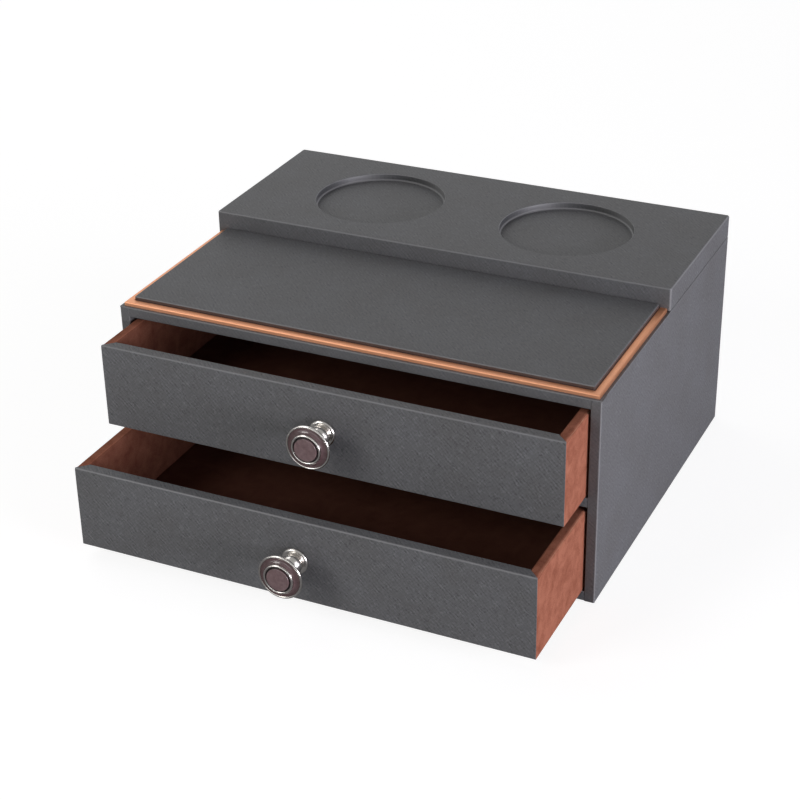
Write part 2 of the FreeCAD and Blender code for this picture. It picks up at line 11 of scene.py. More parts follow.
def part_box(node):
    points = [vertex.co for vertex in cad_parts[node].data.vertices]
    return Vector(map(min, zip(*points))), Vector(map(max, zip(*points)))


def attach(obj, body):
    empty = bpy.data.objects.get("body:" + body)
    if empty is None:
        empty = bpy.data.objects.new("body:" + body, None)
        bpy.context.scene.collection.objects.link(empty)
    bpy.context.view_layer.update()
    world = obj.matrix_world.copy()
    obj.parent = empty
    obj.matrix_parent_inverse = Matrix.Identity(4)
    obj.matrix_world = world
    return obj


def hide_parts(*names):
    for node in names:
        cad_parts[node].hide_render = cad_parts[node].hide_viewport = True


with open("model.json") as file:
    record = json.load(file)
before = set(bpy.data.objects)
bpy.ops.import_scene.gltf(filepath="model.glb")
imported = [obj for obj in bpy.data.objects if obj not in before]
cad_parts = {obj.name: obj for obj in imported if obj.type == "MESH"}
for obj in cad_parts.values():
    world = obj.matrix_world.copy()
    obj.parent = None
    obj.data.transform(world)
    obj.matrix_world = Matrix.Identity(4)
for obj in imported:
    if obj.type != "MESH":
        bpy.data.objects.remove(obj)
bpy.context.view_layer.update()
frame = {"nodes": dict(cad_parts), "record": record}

# ---- Studio -----------------------------------------------------------------------------------
# A pale floor under softboxes above and behind the left, with two cool ones on the right, a warm
# fill at the front left and a low strip before the drawers. The camera stands right of the front
# and looks down on the chest.

camera = bpy.data.objects.new("camera", bpy.data.cameras.new("camera"))
camera.location = (0.48576, -1.07850, 0.68799)
camera.rotation_euler = [math.radians(turn) for turn in (61.4912, 0.9495, 24.9432)]
camera.data.sensor_width = 36.0
camera.data.lens = 84.617
bpy.context.collection.objects.link(camera)
bpy.context.scene.camera = camera
bpy.context.scene.view_settings.view_transform = "Standard"


def softbox(name, place, aim, size, power, colour=(1.0, 1.0, 1.0)):
    """A rectangular area lamp at place that points at aim."""
    lamp = bpy.data.lights.new(name, "AREA")
    lamp.shape = "RECTANGLE"
    lamp.size, lamp.size_y = size
    lamp.energy = power
    lamp.color = colour
    holder = bpy.data.objects.new(name, lamp)
    holder.location = place
    holder.rotation_euler = (Vector(aim) - Vector(place)).to_track_quat("-Z", "Y").to_euler()
    bpy.context.collection.objects.link(holder)


softbox("back_panel", place=(-0.7, 1.6, 1.0), aim=(0, 0, 0.15), size=(2.6, 1.5), power=8.0)
softbox("top_left", place=(-1.1, 0.3, 1.5), aim=(0, 0, 0.1), size=(1.2, 1.2), power=6.0)
softbox("right_strip", place=(2.0, -0.4, 1.1), aim=(0, 0, 0.08), size=(0.9, 1.4), power=5.0,
        colour=(0.94, 0.92, 1.0))
softbox("low_right", place=(1.9, -0.5, 0.32), aim=(0, 0, 0.08), size=(1.2, 0.48), power=38.5,
        colour=(0.94, 0.92, 1.0))
softbox("left_fill", place=(-1.3, -1.9, 1.3), aim=(0, -0.1, 0.08), size=(1.1, 0.9), power=20.0,
        colour=(1.0, 0.98, 0.96))
softbox("low_front", place=(-0.25, -0.95, 0.1), aim=(-0.05, -0.2, 0.02), size=(0.9, 0.15),
        power=1.2)


def add(material, kind, inputs=None, **settings):
    """One shader node. Inputs are values, or sockets to link from."""
    made = material.node_tree.nodes.new(kind)
    for name, value in settings.items():
        setattr(made, name, value)
    for name, value in (inputs or {}).items():
        if isinstance(value, bpy.types.NodeSocket):
            material.node_tree.links.new(value, made.inputs[name])
        else:
            made.inputs[name].default_value = value
    return made


floor_finish = bpy.data.materials.new("pale_floor")
floor_finish.use_nodes = True
floor_finish.node_tree.nodes.clear()
seen = add(floor_finish, "ShaderNodeLightPath")
mirrored = add(floor_finish, "ShaderNodeMath", {0: seen.outputs["Is Glossy Ray"],
                                                1: seen.outputs["Is Transmission Ray"]},
               operation="MAXIMUM")
plain = add(floor_finish, "ShaderNodeBsdfDiffuse", {"Color": (0.80, 0.80, 0.80, 1)})
shade = add(floor_finish, "ShaderNodeBsdfDiffuse", {"Color": (0.30, 0.30, 0.30, 1)})
glow = add(floor_finish, "ShaderNodeEmission", {"Color": (1, 1, 1, 1), "Strength": 0.85})
lit = add(floor_finish, "ShaderNodeAddShader", {0: shade.outputs[0], 1: glow.outputs[0]})
unseen = add(floor_finish, "ShaderNodeMixShader", {0: mirrored.outputs[0],
                                                   1: plain.outputs[0], 2: shade.outputs[0]})
mixed = add(floor_finish, "ShaderNodeMixShader", {0: seen.outputs["Is Camera Ray"],
                                                  1: unseen.outputs[0], 2: lit.outputs[0]})
add(floor_finish, "ShaderNodeOutputMaterial", {"Surface": mixed.outputs[0]})

floor = bmesh.new()
bmesh.ops.create_grid(floor, x_segments=1, y_segments=1, size=6.0)
floor_mesh = bpy.data.meshes.new("floor")
floor.to_mesh(floor_mesh)
floor.free()
floor_mesh.materials.append(floor_finish)
floor_object = bpy.data.objects.new("floor", floor_mesh)
bpy.context.collection.objects.link(floor_object)

# The room is plain white to the camera. It gives a dim even light of its own, and polished metal
# mirrors it as a pale grey.
room = bpy.data.worlds.new("room")
room.use_nodes = True
room.node_tree.nodes.clear()
looked_at = add(room, "ShaderNodeLightPath")
backdrop = add(room, "ShaderNodeBackground", {"Color": (1, 1, 1, 1), "Strength": 1.0})
reflected = add(room, "ShaderNodeBackground", {"Color": (1, 1, 1, 1), "Strength": 0.42})
ambient = add(room, "ShaderNodeBackground", {"Color": (0.96, 0.98, 1.0, 1), "Strength": 0.03})
unlit_room = add(room, "ShaderNodeMixShader", {0: looked_at.outputs["Is Glossy Ray"],
                                               1: ambient.outputs[0], 2: reflected.outputs[0]})
seen_room = add(room, "ShaderNodeMixShader", {0: looked_at.outputs["Is Camera Ray"],
                                              1: unlit_room.outputs[0], 2: backdrop.outputs[0]})
add(room, "ShaderNodeOutputWorld", {"Surface": seen_room.outputs[0]})
bpy.context.scene.world = room

# ---- Boards -----------------------------------------------------------------------------------
# The carcass, the rear block, the panel and the drawers are sawn from raw fibreboard. The boards
# are let into each other and pinned, and show only where the covering is lifted.


def finish(name, colour, roughness, metallic=0.0):
    """A material with its plain settings. Patterns are linked to its shader afterwards."""
    material = bpy.data.materials.new(name)
    material.use_nodes = True
    shader = material.node_tree.nodes["Principled BSDF"]
    shader.inputs["Base Color"].default_value = (*colour, 1.0)
    shader.inputs["Roughness"].default_value = roughness
    shader.inputs["Metallic"].default_value = metallic
    return material, shader


def two_tone(material, amount, dark, light, blend_type="MIX"):
    """A colour from dark to light by amount, or towards their product with MULTIPLY.

    Dark and light are colours, or sockets to link from."""
    dark, light = (end if isinstance(end, bpy.types.NodeSocket) else (*end, 1.0)
                   for end in (dark, light))
    return add(material, "ShaderNodeMix", {0: amount, 6: dark, 7: light}, data_type="RGBA",
               blend_type=blend_type).outputs[2]


def blend(material, first, share, second):
    """A value that takes share of second and the rest of first."""
    return add(material, "ShaderNodeMix", {0: share, 2: first, 3: second}).outputs[0]


def cloudy(material, where, scale, detail=2.0, roughness=0.5, distortion=0.0):
    """Noise over some coordinates, as a value about 0.5. Scale is in spots per metre."""
    return add(material, "ShaderNodeTexNoise",
               {"Vector": where, "Scale": scale, "Detail": detail, "Roughness": roughness,
                "Distortion": distortion}).outputs[0]


def on_piece(material):
    """The object's own coordinates, in metres."""
    return add(material, "ShaderNodeTexCoord").outputs["Object"]


def spread(material, value, low, high, to_low=0.0, to_high=1.0):
    """Value, stretched from low..high to to_low..to_high and held there."""
    return add(material, "ShaderNodeMapRange", {0: value, 1: low, 2: high, 3: to_low,
                                                4: to_high}).outputs[0]


def feed(shader, name, pattern):
    """Link a pattern to one of a shader's sockets."""
    shader.id_data.links.new(pattern, shader.inputs[name])


def raise_grain(material, shader, height, depth, strength=1.0):
    """Bump of a real depth, in metres."""
    bump = add(material, "ShaderNodeBump", {"Strength": strength, "Distance": depth,
                                            "Height": height})
    feed(shader, "Normal", bump.outputs[0])


fibreboard, shader = finish("fibreboard", (0.42, 0.29, 0.18), roughness=0.82)
fibres = cloudy(fibreboard, on_piece(fibreboard), scale=900.0, detail=6.0)
clouds = cloudy(fibreboard, on_piece(fibreboard), scale=45.0, detail=3.0)
speckle = add(fibreboard, "ShaderNodeMath", {0: fibres, 1: clouds}, operation="MULTIPLY")
board_colour = two_tone(fibreboard, spread(fibreboard, speckle.outputs[0], 0.12, 0.42),
                        (0.28, 0.18, 0.10), (0.52, 0.38, 0.24))
feed(shader, "Base Color", board_colour)
raise_grain(fibreboard, shader, fibres, depth=0.00015)

zinc, shader = finish("zinc_plate", (0.55, 0.56, 0.58), roughness=0.34, metallic=1.0)
bloom = add(zinc, "ShaderNodeTexVoronoi",
            {"Vector": on_piece(zinc), "Scale": 1400.0}).outputs["Distance"]
feed(shader, "Base Color", two_tone(zinc, bloom, (0.40, 0.42, 0.45), (0.66, 0.67, 0.66)))
feed(shader, "Roughness", spread(zinc, bloom, 0.0, 0.8, 0.26, 0.44))

for node, bare in frame["nodes"].items():
    if node.endswith("_board") or node == "middle_shelf":
        bare.data.materials.clear()
        bare.data.materials.append(fibreboard)
    elif "screw" in node or "brads" in node:
        bare.data.materials.clear()
        bare.data.materials.append(zinc)

# ---- Carcass covering -------------------------------------------------------------------------
# One sheet of grey leatherette, embossed with a fine slanting cross-hatch, glued round the left,
# back and right. It is folded over the side boards' front edges, into the bays and underneath.

GRAIN = 0.0023          # from ridge to ridge
SHEET = 0.0006          # leatherette's thickness
TURN_IN = 0.015         # margin of a sheet that is glued out of sight
WAVE = 0.00005          # how far the glued sheet rises and falls
WAVES = 38.0            # rises and falls in a metre of it
CELL = 0.009            # mesh over a flat part of a sheet
MARGIN = 0.0001         # how far a cut or a choice of faces clears a fold
NEAR = 1e-6             # places closer than this count as one level
MERGED = 1e-7           # corners closer than this are one


def leatherette(name, dark, light):
    """Slanting ridges crossed by fainter ones; smooth folds, paler from wear and painted highlight.
    """
    material, shader = finish(name, light, roughness=0.5)
    shader.inputs["Specular IOR Level"].default_value = 0.3
    lay = add(material, "ShaderNodeUVMap", uv_map="lay").outputs[0]
    folds = add(material, "ShaderNodeAttribute", attribute_name="fold").outputs["Fac"]

    def ridges(turn, pitch, wander):
        """Bands of waves, which repeat every pi / 10 at a scale of 1."""
        slanted = add(material, "ShaderNodeMapping",
                      {"Vector": lay, "Rotation": (0, 0, math.radians(turn))})
        return add(material, "ShaderNodeTexWave",
                   {"Vector": slanted.outputs[0], "Scale": math.pi / 10 / pitch,
                    "Distortion": wander, "Detail": 2.0, "Detail Scale": 2.2}).outputs["Fac"]

    ridged = blend(material, ridges(-45, GRAIN, wander=5.0), 0.35,
                   ridges(-45, GRAIN / 2, wander=4.0))
    crossed = blend(material, ridged, 0.35, ridges(45, GRAIN * 0.93, wander=6.0))
    along = add(material, "ShaderNodeMapping",
                {"Vector": lay, "Rotation": (0, 0, math.radians(-45)),
                 "Scale": (0.0045, 0.0012, 1.0)}, vector_type="TEXTURE")
    dashes = cloudy(material, along.outputs[0], scale=1.0)
    embossed = blend(material, crossed, 0.45, spread(material, dashes, 0.33, 0.67))
    patches = cloudy(material, lay, scale=210.0, detail=3.0, roughness=0.6)
    hatch = blend(material, 0.5, spread(material, patches, 0.38, 0.66, 0.2, 1.0), embossed)
    pores = cloudy(material, lay, scale=2600.0, detail=3.0, roughness=0.6)
    height = blend(material, hatch, 0.4, pores)
    stretched = blend(material, height, spread(material, folds, 0.0, 1.0, 0.0, 0.72), 0.75)
    tone = two_tone(material, spread(material, stretched, 0.26, 0.74), dark, light)
    clouds = cloudy(material, lay, scale=26.0, detail=4.0, roughness=0.62)
    shades = two_tone(material, spread(material, clouds, 0.3, 0.7), (0.93, 0.92, 0.91),
                      (1.06, 1.07, 1.09))
    dyed = two_tone(material, 1.0, tone, shades, blend_type="MULTIPLY")
    # Folds turn paler: partly real wear, partly a painted highlight along edges lit from above.
    wear_and_highlight = spread(material, folds, 0.0, 1.0, 0.0, 0.6)
    feed(shader, "Base Color", two_tone(material, wear_and_highlight, dyed, (0.235, 0.236, 0.240)))
    gloss = spread(material, height, 0.2, 0.85, 0.60, 0.44)
    feed(shader, "Roughness", blend(material, gloss, wear_and_highlight, 0.36))
    raise_grain(material, shader, stretched, depth=0.00015, strength=0.9)
    return material


grey_leatherette = leatherette("grey_leatherette", dark=(0.080, 0.081, 0.084),
                               light=(0.153, 0.154, 0.158))


def outlined(outline, segments):
    """A line of edges through an outline's (place, corner radius) pairs."""
    shape = bmesh.new()
    corners = [shape.verts.new(place) for place, _ in outline]
    for pair in zip(corners, corners[1:]):
        shape.edges.new(pair)
    for corner, (_, radius) in zip(corners, outline):
        if radius:
            bmesh.ops.bevel(shape, geom=[corner], affect="VERTICES", offset=radius,
                            segments=segments, profile=0.5)
    return shape


def round_off(shape, edges, radius, segments, clamp=False):
    """Round some edges to a radius."""
    bmesh.ops.bevel(shape, geom=edges, affect="EDGES", offset=radius, segments=segments,
                    profile=0.5, material=-1, clamp_overlap=clamp)


def pull(shape, line, way):
    """Draw a sheet out from a line of edges, by way in steps of a cell. Gives its new line."""
    steps = max(1, round(way.length / CELL))
    for _ in range(steps):
        made = bmesh.ops.extrude_edge_only(shape, edges=line)["geom"]
        line = [part for part in made if isinstance(part, bmesh.types.BMEdge)]
        moved = [part for part in made if isinstance(part, bmesh.types.BMVert)]
        bmesh.ops.translate(shape, verts=moved, vec=way / steps)
    return line


def folded(axis, outline, stations):
    """Fold a sheet to an outline of (a, b, fold radius), and run it along an axis.

    A and b are places on the other two axes, and stations are places on this one."""
    def place(station, a=0.0, b=0.0):
        spot = [a, b]
        spot.insert("xyz".index(axis), station)
        return Vector(spot)

    sheet = outlined([(place(stations[0], a, b), radius) for a, b, radius in outline], segments=5)
    for side in list(sheet.edges):
        if side.calc_length() > 1.5 * CELL:
            bmesh.ops.subdivide_edges(sheet, edges=[side], cuts=int(side.calc_length() / CELL))
    line = list(sheet.edges)
    for start, end in zip(stations, stations[1:]):
        line = pull(sheet, line, place(end - start))
    return sheet


def open_edges(sheet, wanted=lambda at: True):
    """A sheet's open edges whose ends both satisfy wanted(place)."""
    return [line for line in sheet.edges
            if line.is_boundary and all(wanted(vert.co) for vert in line.verts)]


def trim_off(sheet, unwanted):
    """Cut away each face whose middle satisfies unwanted(middle)."""
    waste = [face for face in sheet.faces if unwanted(face.calc_center_median())]
    bmesh.ops.delete(sheet, geom=waste, context="FACES")


def cut_mitre(sheet, wanted, inner, outer, keep_front):
    """Cut the faces that wanted(middle) picks along the upright plane from inner to outer."""
    faces = [face for face in sheet.faces if wanted(face.calc_center_median())]
    lines = {line for face in faces for line in face.edges}
    verts = {vert for face in faces for vert in face.verts}
    to_front = Vector((inner.y - outer.y, outer.x - inner.x, 0))
    if to_front.y > 0:
        to_front = -to_front
    bmesh.ops.bisect_plane(sheet, geom=faces + list(lines) + list(verts), plane_co=inner,
                           plane_no=to_front, dist=MERGED, clear_inner=keep_front,
                           clear_outer=not keep_front)


def turn_under(sheet, line, reach, near, far, radius):
    """Turn a sheet's lower edge in to -reach..reach by near..far, and round the fold."""
    made = bmesh.ops.extrude_edge_only(sheet, edges=line)["geom"]
    moved = [part for part in made if isinstance(part, bmesh.types.BMVert)]
    for vert in moved:
        vert.co.x = min(max(vert.co.x, -reach), reach)
        vert.co.y = min(max(vert.co.y, near), far)
    bmesh.ops.remove_doubles(sheet, verts=moved, dist=MERGED)
    round_off(sheet, line, radius, segments=3)


def mark_lay(shape, drawn=None):
    """Lay a map in metres on a shape's faces, and mark the bent ones for wear and painted
    highlight.

    Drawn is the axis that a bar's drawn lines follow."""
    lay = shape.loops.layers.uv.new("lay")
    fold = shape.faces.layers.float.new("fold")
    for face in shape.faces:
        reach = [abs(part) for part in face.normal]
        across, up = [(1, 2), (0, 2), (0, 1)][reach.index(max(reach))]
        if up == drawn:
            across, up = up, across
        for corner in face.loops:
            corner[lay].uv = (corner.vert.co[across], corner.vert.co[up])
        bent = 1.0 - max(reach)
        # Faces that look down get no fold value, so the painted highlight only falls on upper
        # edges.
        face[fold] = min(1.0, 5.0 * bent) if bent > 0.01 and face.normal.z > -0.05 else 0.0


def piece(name, shape, node_names, material, thickness=0.0, swell=0.0, inner=None,
          drawn=None):
    """Make a shape one finished piece of the chest, which stands for some of its nodes.

    Inner is a place that an open sheet's faces look away from. Thickness is taken inwards, and
    swell is how far the surface rises and falls."""
    bmesh.ops.remove_doubles(shape, verts=shape.verts, dist=MERGED)
    bmesh.ops.recalc_face_normals(shape, faces=shape.faces)
    if inner is not None:
        outwards = sum((face.calc_center_median() - inner).dot(face.normal) * face.calc_area()
                       for face in shape.faces)
        if outwards < 0:
            bmesh.ops.reverse_faces(shape, faces=shape.faces)
    shape.normal_update()
    mark_lay(shape, drawn)
    if swell:
        for vert in shape.verts:
            vert.co += vert.normal * swell * noise.noise(vert.co * WAVES)
    mesh = bpy.data.meshes.new(name)
    shape.to_mesh(mesh)
    shape.free()
    mesh.shade_smooth()
    mesh.set_sharp_from_angle(angle=math.radians(42))
    mesh.materials.append(material)
    made = bpy.data.objects.new(name, mesh)
    bpy.context.collection.objects.link(made)
    if thickness:
        wall = made.modifiers.new("thickness", "SOLIDIFY")
        wall.thickness = thickness
        wall.offset = -1.0
        wall.use_even_offset = True
    evened = made.modifiers.new("even_shading", "WEIGHTED_NORMAL")
    evened.keep_sharp = True
    body = next(body for body, members in frame["record"]["behaviour"]["bodies"].items()
                if node_names[0] in members)
    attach(made, body)
    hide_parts(*node_names)
    return made


def second_finish(made, material, wanted):
    """Give a piece another material on the faces that satisfy wanted(face)."""
    made.data.materials.append(material)
    for face in made.data.polygons:
        if wanted(face):
            face.material_index = 1


low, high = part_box("carcass_wrap")
half, front, back = high.x, low.y, high.y
shelf_low, shelf_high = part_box("shelf_edge_wrap")
mouth = half - (shelf_high.z - shelf_low.z)      # inner face of a side, as thick as the shelf
floors = [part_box(bay + "_bay_lining")[1].z for bay in ("lower", "upper")]
bay_height = shelf_low.z - floors[0]
bays = [(floor, floor + bay_height) for floor in floors]
outer_fold, inner_fold = 0.001, 0.0006

left_half = [(-mouth, front + TURN_IN, 0), (-mouth, front, inner_fold),
             (-half, front, outer_fold), (-half, back, outer_fold)]
right_half = [(-x, y, radius) for x, y, radius in reversed(left_half)]
covering = folded("z", left_half + right_half, [low.z, *bays[0], *bays[1], high.z])
trim_off(covering, lambda at: abs(at.x) < mouth + NEAR
         and front + inner_fold + MARGIN < at.y < back - outer_fold
         and not any(floor < at.z < roof for floor, roof in bays))
foot = open_edges(covering, lambda at: at.z < low.z + NEAR
                  and (at.y > back - outer_fold - MARGIN
                       or at.y > front + outer_fold - MARGIN
                       and abs(at.x) > half - outer_fold - MARGIN))
turn_under(covering, foot, reach=half - TURN_IN, near=front, far=back - TURN_IN,
           radius=inner_fold)
piece("carcass_covering", covering, ["carcass_wrap"], grey_leatherette,
      thickness=SHEET, swell=WAVE, inner=(low + high) / 2)

# ---- Edge strips ------------------------------------------------------------------------------
# The shelf's and the bottom board's front edges have their own strips of the same leatherette,
# folded over the edge and turned in above and below it, butted against the sides' covering.

strip_fold = 0.0008
for board in ("shelf", "bottom"):
    low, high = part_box(board + "_edge_wrap")
    strip = folded("x", [(front + TURN_IN, high.z, 0), (front, high.z, strip_fold),
                         (front, low.z, strip_fold), (front + TURN_IN, low.z, 0)],
                   [-mouth, TURN_IN - half, half - TURN_IN, mouth])
    if board == "bottom":
        trim_off(strip, lambda at: at.z < low.z + NEAR and abs(at.x) > half - TURN_IN)
    piece(board + "_edge_covering", strip, [board + "_edge_wrap"],
          grey_leatherette, thickness=SHEET, swell=WAVE, inner=(low + high) / 2)

# ---- Top covering -----------------------------------------------------------------------------
# The top has its own sheet. It is folded down over the front edge, turned in under it, and
# trimmed along the back and sides with a lip that closes on the carcass's covering.

top_fold, lip_round = 0.0008, 0.0005
low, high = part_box("top_wrap")
sheet = folded("x", [(back, high.z, 0), (front, high.z, top_fold), (front, low.z, top_fold),
                     (front + TURN_IN, low.z, 0)], [-half, -mouth, mouth, half])
trim_off(sheet, lambda at: abs(at.x) > mouth and at.z < high.z - SHEET)
sides = open_edges(sheet, lambda at: abs(at.x) > half - NEAR and at.y > front + top_fold + MARGIN)
rim = sides + open_edges(sheet, lambda at: at.y > back - NEAR)
pull(sheet, rim, Vector((0, 0, -0.98 * SHEET)))
round_off(sheet, rim, lip_round, segments=3)
piece("top_covering", sheet, ["top_wrap"], grey_leatherette, thickness=SHEET,
      swell=WAVE / 2, inner=(low + high) / 2)

# ---- Copper trim ------------------------------------------------------------------------------
# Three flat bars of brushed, copper-coloured metal edge the front part of the top. Their ends are
# mitred at both front corners, and they are glued to the top's covering.


def brushed_copper():
    """Fine drawn lines along each bar, with duller patches and a few rubbed bright ones."""
    material, shader = finish("brushed_copper", (0.69, 0.34, 0.20), roughness=0.34, metallic=1.0)
    lay = add(material, "ShaderNodeUVMap", uv_map="lay").outputs[0]
    drawn = add(material, "ShaderNodeMapping", {"Vector": lay, "Scale": (14.0, 5200.0, 1.0)})
    lines = cloudy(material, drawn.outputs[0], scale=1.0, detail=4.0, roughness=0.7)
    patches = cloudy(material, lay, scale=60.0, detail=3.0)
    tone = two_tone(material, spread(material, lines, 0.3, 0.7),
                    (0.66, 0.295, 0.153), (0.85, 0.44, 0.265))
    aged = two_tone(material, spread(material, patches, 0.45, 0.75, 0.0, 0.5), tone,
                    (0.68, 0.37, 0.245))
    feed(shader, "Base Color", aged)
    feed(shader, "Roughness", spread(material, patches, 0.3, 0.75, 0.46, 0.58))
    raise_grain(material, shader, lines, depth=0.00002, strength=0.6)
    return material


copper = brushed_copper()
outer_round, inner_round, mitre_round = 0.001, 0.0003, 0.0001
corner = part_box("front_trim")[0]                 # left front corner of the mitred frame
for place, side in (("front", 0), ("left", -1), ("right", 1)):
    low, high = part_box(place + "_trim")
    along, across = (1, 0) if side else (0, 1)
    bar = bmesh.new()
    bmesh.ops.create_cube(bar, size=1.0, matrix=Matrix.Translation((low + high) / 2)
                          @ Matrix.Diagonal((*(high - low), 1.0)))
    for outer, radius in ((True, outer_round), (False, inner_round)):
        long_edges = []
        for line in bar.edges:
            first, last = (vert.co for vert in line.verts)
            on_outside = abs(abs(first[across]) - abs(corner[across])) < NEAR
            if (min(first.z, last.z) > high.z - NEAR and on_outside == outer
                    and abs((last - first).normalized()[along]) > 0.9):
                long_edges.append(line)
        round_off(bar, long_edges, radius, segments=5)
    for end in ((side,) if side else (-1, 1)):
        waste_way = Vector((-end, -1, 0)) if side else Vector((end, 1, 0))
        bmesh.ops.bisect_plane(bar, geom=bar.verts[:] + bar.edges[:] + bar.faces[:],
                               plane_co=(-end * corner.x, corner.y, 0), plane_no=waste_way,
                               clear_outer=True, dist=MERGED)
    bmesh.ops.holes_fill(bar, edges=open_edges(bar))
    bar.normal_update()
    mitres = [line for line in bar.edges
              if any(min(abs(face.normal.x), abs(face.normal.y)) > 0.5
                     for face in line.link_faces)]
    round_off(bar, mitres, mitre_round, segments=2, clamp=True)
    piece(place + "_trim_bar", bar, [place + "_trim"], copper, drawn=along)

# ---- Top panel --------------------------------------------------------------------------------
# A thin board inside the trim, covered with the same leatherette. The sheet is glued over the
# board's rounded edges and leaves a groove at the block. Below the fold its sides carry a dark
# brown painted shade with a painted copper reflection.


def cover_sides(sheet, outline, foot, upright_round, shoulder_round):
    """Fold a flat sheet's outline down to a level, and round its corners and shoulder."""
    level = outline[0].verts[0].co.z
    pull(sheet, outline, Vector((0, 0, foot - level)))
    wide = max(abs(vert.co.x) for vert in sheet.verts)
    near = min(vert.co.y for vert in sheet.verts)
    far = max(vert.co.y for vert in sheet.verts)

    def inward(vert):
        """How far it lies in from the sides, and from the ends."""
        return wide - abs(vert.co.x), min(vert.co.y - near, far - vert.co.y)

    upright = [line for line in sheet.edges
               if all(max(inward(vert)) < NEAR for vert in line.verts)]
    round_off(sheet, upright, upright_round, segments=5)
    shoulder = [line for line in sheet.edges
                if all(vert.co.z > level - NEAR
                       and (min(inward(vert)) < NEAR or max(inward(vert)) < upright_round)
                       for vert in line.verts)]
    round_off(sheet, shoulder, shoulder_round, segments=4)


def draped(low, high, upright_round, shoulder_round):
    """A sheet over the top of a box and down its four sides, open underneath."""
    size = high - low
    sheet = bmesh.new()
    bmesh.ops.create_grid(sheet, x_segments=round(size.x / CELL), y_segments=round(size.y / CELL),
                          size=0.5, matrix=Matrix.Translation((0, (low.y + high.y) / 2, high.z))
                          @ Matrix.Diagonal((size.x, size.y, 1, 1)))
    cover_sides(sheet, open_edges(sheet), low.z, upright_round, shoulder_round)
    return sheet


low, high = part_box("top_panel_wrap")
panel = draped(low, high, upright_round=0.001, shoulder_round=0.001)
made = piece("top_panel_covering", panel, ["top_panel_wrap"], grey_leatherette,
             thickness=SHEET, swell=WAVE, inner=(low + high) / 2)
# Painted shade and painted copper reflection: the panel's sides below the fold are dark brown.
panel_side_shade = leatherette("panel_side_painted_shade", dark=(0.046, 0.031, 0.027),
                           light=(0.078, 0.052, 0.045))
second_finish(made, panel_side_shade, lambda face: face.normal.z < 0.2)
# The panel's ends keep no paler fold, so no painted highlight shows there.
for face, fold in zip(made.data.polygons, made.data.attributes["fold"].data):
    if abs(face.normal.x) > 0.3:
        fold.value = 0.0                         # no wear or painted highlight on its ends

# ---- Rear block covering ----------------------------------------------------------------------
# One sheet over the raised rear block, folded down its four sides and turned in underneath. The
# fold at its foot carries a near-black painted shade of the seam under the block. It is cut out
# over both round recesses and rolled over their rims.

low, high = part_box("block_wrap")
recess_radius = 0.047
rim_roll = 0.00058
shoulder_round, upright_round = 0.0012, 0.0016
half_depth = (high.y - low.y) / 2
cells = 20                                       # along a side of the square round a recess
block = bmesh.new()
for side in ("left", "right"):
    centre = sum(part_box(side + "_recess_floor"), Vector()) / 2
    place = Matrix.Translation((centre.x, centre.y, high.z))
    square = bmesh.ops.create_grid(block, x_segments=cells, y_segments=cells, size=half_depth,
                                   matrix=place)["verts"]
    kept = [vert for vert in square if vert.is_boundary]
    bmesh.ops.delete(block, geom=[vert for vert in square if not vert.is_boundary],
                     context="VERTS")
    ring = bmesh.ops.create_circle(block, segments=4 * cells, radius=recess_radius,
                                   matrix=place)["verts"]
    loops = {line for vert in kept + ring for line in vert.link_edges}
    spokes = bmesh.ops.bridge_loops(block, edges=list(loops))["edges"]
    bmesh.ops.subdivide_edges(block, edges=spokes, cuts=3, use_grid_fill=True)
    for way in (-1, 1):
        reach = centre.x + way * half_depth
        stop = way * half if way * centre.x > 0 else 0.0
        pull(block, open_edges(block, lambda at: abs(at.x - reach) < NEAR),
             Vector((stop - reach, 0, 0)))
bmesh.ops.remove_doubles(block, verts=block.verts, dist=NEAR)
rims = open_edges(block, lambda at: abs(at.x) < half - NEAR
                  and low.y + NEAR < at.y < high.y - NEAR)
outline = [line for line in open_edges(block) if line not in rims]
pull(block, rims, Vector((0, 0, -SHEET)))
round_off(block, rims, rim_roll, segments=3)
cover_sides(block, outline, low.z, upright_round, shoulder_round)
turn_under(block, open_edges(block, lambda at: at.z < low.z + NEAR), reach=half - TURN_IN,
           near=low.y + TURN_IN, far=high.y - TURN_IN, radius=shoulder_round)
made = piece("rear_block_covering", block, ["block_wrap"], grey_leatherette,
             thickness=SHEET, swell=WAVE, inner=(low + high) / 2)
# Painted shade: the block's foot is near black, where the seam under the block lies in shadow.
block_seam_shade = leatherette("block_seam_painted_shade", dark=(0.026, 0.026, 0.027),
                        light=(0.044, 0.044, 0.046))
second_finish(made, block_seam_shade, lambda face: face.center.z < low.z + shoulder_round)

# ---- Recess linings ---------------------------------------------------------------------------
# Each recess is lined with a disc and a rim strip of leatherette, pressed into a shallow pan with
# a rounded foot. The strip has a darker grey painted shade on the recess walls, and closes under
# the block covering's rolled rim.


def spun(outline, centre, axis):
    """Spin an outline of (place, corner radius) round an axis through centre."""
    shape = outlined(outline, segments=6)
    bmesh.ops.spin(shape, geom=shape.verts[:] + shape.edges[:], cent=centre, axis=axis,
                   angle=math.tau, steps=96, use_merge=True)
    bmesh.ops.remove_doubles(shape, verts=shape.verts, dist=MERGED)
    return shape


